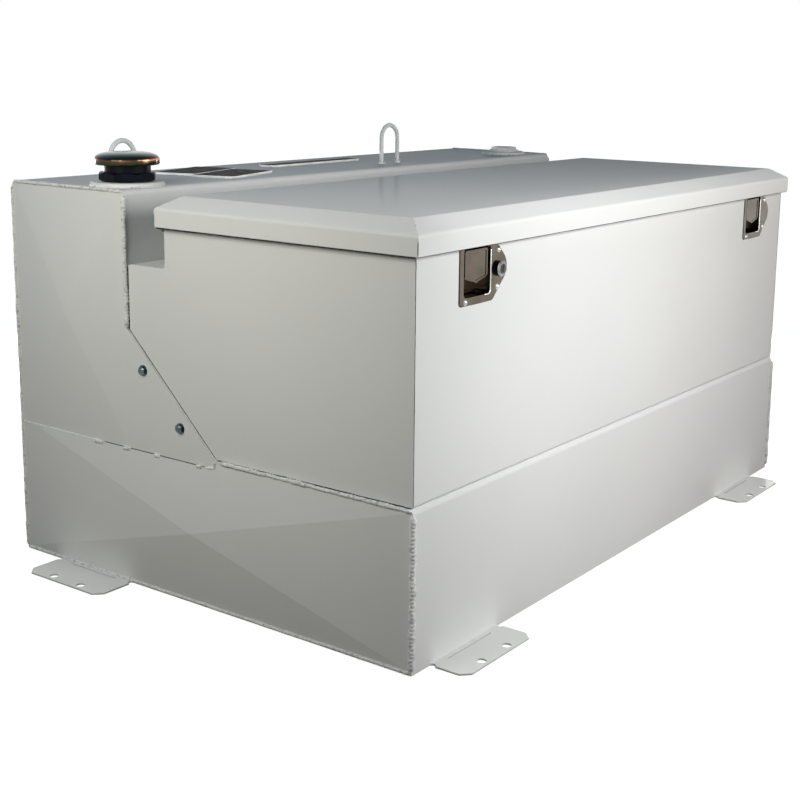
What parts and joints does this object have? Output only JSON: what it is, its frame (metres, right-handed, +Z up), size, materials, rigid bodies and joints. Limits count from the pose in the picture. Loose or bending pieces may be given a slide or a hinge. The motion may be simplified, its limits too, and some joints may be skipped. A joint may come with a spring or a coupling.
{
  "type": "truck bed transfer tank",
  "caption": "L-shaped welded steel fuel transfer tank with a lidded toolbox on its low front, bolt-down tabs, filler cap and lifting eyes.",
  "frame": {"origin": "centre of the footprint, on the floor, of the tank with its mounting tabs", "axes": "+X to the right end seen from the toolbox side, +Y to the tall rear section, +Z up"},
  "size_m": [1.365, 0.862, 0.692],
  "materials": {
    "white_paint": "gloss powder coat",
    "stainless": "polished",
    "zinc_steel": "zinc plated",
    "yellow_zinc": "yellow zinc, iridescent",
    "black_steel": "black gloss",
    "black_rubber": "matt"
  },
  "bodies": {
    "root": {"tank_front": "white_paint", "tank_rear": "white_paint", "bottom_plate": "white_paint", "end_lower_left": "white_paint", "end_lower_right": "white_paint", "end_upper_left": "white_paint", "end_upper_right": "white_paint", "baffle_left": "white_paint", "baffle_right": "white_paint", "filler_flange": "white_paint", "neck_gasket": "black_rubber", "filler_neck": "black_steel", "pump_bung": "white_paint", "pump_plug": "white_paint", "lifting_eye_left": "white_paint", "lifting_eye_middle": "white_paint", "box_front": "white_paint", "box_shell": "white_paint", "box_end_left": "white_paint", "box_end_right": "white_paint", "box_bolts": "zinc_steel", "box_nuts": "zinc_steel", "rim_seal": "black_rubber", "hinge_leaf_box": "zinc_steel", "hinge_pin": "zinc_steel", "latch_pan_left": "stainless", "latch_pan_right": "stainless", "latch_rivets": "stainless", "paddle_pins": "zinc_steel", "latch_bracket_left": "zinc_steel", "latch_bracket_right": "zinc_steel", "hook_pins": "zinc_steel", "lock_barrel": "black_steel"},
    "lid": {"lid_skin": "white_paint", "lid_stiffener": "white_paint", "hinge_leaf_lid": "zinc_steel", "striker_left": "zinc_steel", "striker_right": "zinc_steel"},
    "paddle_left": {"paddle_left": "stainless"},
    "paddle_right": {"paddle_right": "stainless"},
    "hook_left": {"hook_left": "zinc_steel"},
    "hook_right": {"hook_right": "zinc_steel"},
    "lock": {"lock_plug": "zinc_steel", "lock_cam": "zinc_steel"},
    "cap_seal": {"cap_gasket": "black_rubber"},
    "cap": {"cap_core": "black_steel", "cap_dome": "yellow_zinc"}
  },
  "joints": [
    {"name": "lid_hinge", "type": "hinge", "parent": "root", "child": "lid", "pos_m": [0, 0.09305, 0.5631], "axis": [-1, 0, 0], "range_deg": [0, 85]},
    {"name": "paddle_left_pull", "type": "hinge", "parent": "root", "child": "paddle_left", "pos_m": [-0.4695, -0.361, 0.558], "axis": [-1, 0, 0], "range_deg": [0, 30], "stiffness_Nm_per_rad": 0.6},
    {"name": "paddle_right_pull", "type": "hinge", "parent": "root", "child": "paddle_right", "pos_m": [0.4695, -0.361, 0.558], "axis": [-1, 0, 0], "range_deg": [0, 30], "stiffness_Nm_per_rad": 0.6},
    {"name": "hook_left_swing", "type": "hinge", "parent": "root", "child": "hook_left", "pos_m": [-0.4695, -0.325, 0.547], "axis": [1, 0, 0], "range_deg": [0, 45]},
    {"name": "hook_right_swing", "type": "hinge", "parent": "root", "child": "hook_right", "pos_m": [0.4695, -0.325, 0.547], "axis": [1, 0, 0], "range_deg": [0, 45]},
    {"name": "lock_turn", "type": "hinge", "parent": "root", "child": "lock", "pos_m": [-0.4165, -0.369, 0.53], "axis": [0, 1, 0], "range_deg": [0, 90]},
    {"name": "cap_lift", "type": "slide", "parent": "root", "child": "cap_seal", "axis": [0, 0, 1], "range_m": [0, 0.045]},
    {"name": "cap_turn", "type": "hinge", "parent": "cap_seal", "child": "cap", "pos_m": [-0.5425, 0.236, 0.64], "axis": [0, 0, 1], "range_deg": [-90, 0]}
  ],
  "couplings": [
    {"joint": "hook_left_swing", "follows": "paddle_left_pull", "ratio": 1.5},
    {"joint": "hook_right_swing", "follows": "paddle_right_pull", "ratio": 1.5}
  ]
}
